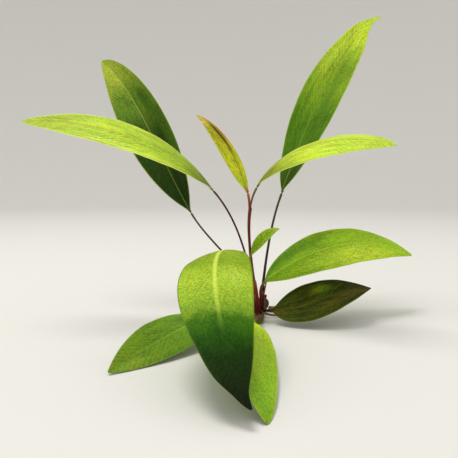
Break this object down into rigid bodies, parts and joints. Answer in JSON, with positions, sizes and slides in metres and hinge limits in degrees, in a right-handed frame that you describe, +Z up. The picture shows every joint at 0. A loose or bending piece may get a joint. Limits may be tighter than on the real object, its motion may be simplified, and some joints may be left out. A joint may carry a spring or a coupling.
{
  "type": "aquarium plant",
  "caption": "Rooted water plant with lance-shaped leaves on long stalks that rise from a short creeping stem, for planting in an aquarium.",
  "frame": {"origin": "on the flat underside of the creeping stem, under the crown where the stalks meet", "axes": "+Z up, -Y towards the viewer of the picture along the growing tip of the creeping stem, +X to the right"},
  "size_m": [0.2573, 0.2734, 0.2095],
  "materials": {
    "leaf_bright": "satin, bright yellow-green",
    "leaf_fresh": "satin, fresh green",
    "leaf_mid": "satin, mid green",
    "leaf_deep": "satin, deep green",
    "leaf_shade": "satin, very dark brownish green",
    "leaf_young": "satin, golden green with an orange tint",
    "stalk_red": "satin, red-brown",
    "stalk_olive": "satin, grey-olive",
    "rhizome": "matte, brown-green",
    "root": "matte, cream"
  },
  "bodies": {
    "root": {"rhizome": "rhizome", "root_1": "root", "root_2": "root", "root_3": "root", "root_4": "root", "root_5": "root", "root_6": "root", "root_7": "root", "root_8": "root", "stalk_back_left": "stalk_olive", "stalk_left": "stalk_red", "stalk_young": "stalk_red", "stalk_right": "stalk_red", "stalk_back_right": "stalk_olive", "stalk_newest": "stalk_red", "stalk_mid_right": "stalk_red", "stalk_low_right": "stalk_red", "stalk_arched": "stalk_red", "stalk_low_front": "stalk_red", "stalk_low_left": "stalk_red", "blade_back_left": "leaf_deep", "blade_left": "leaf_bright", "blade_young": "leaf_young", "blade_right": "leaf_bright", "blade_back_right": "leaf_mid", "blade_newest": "leaf_fresh", "blade_mid_right": "leaf_fresh", "blade_low_right": "leaf_shade", "blade_arched": "leaf_fresh", "blade_low_front": "leaf_fresh", "blade_low_left": "leaf_mid"}
  },
  "joints": []
}
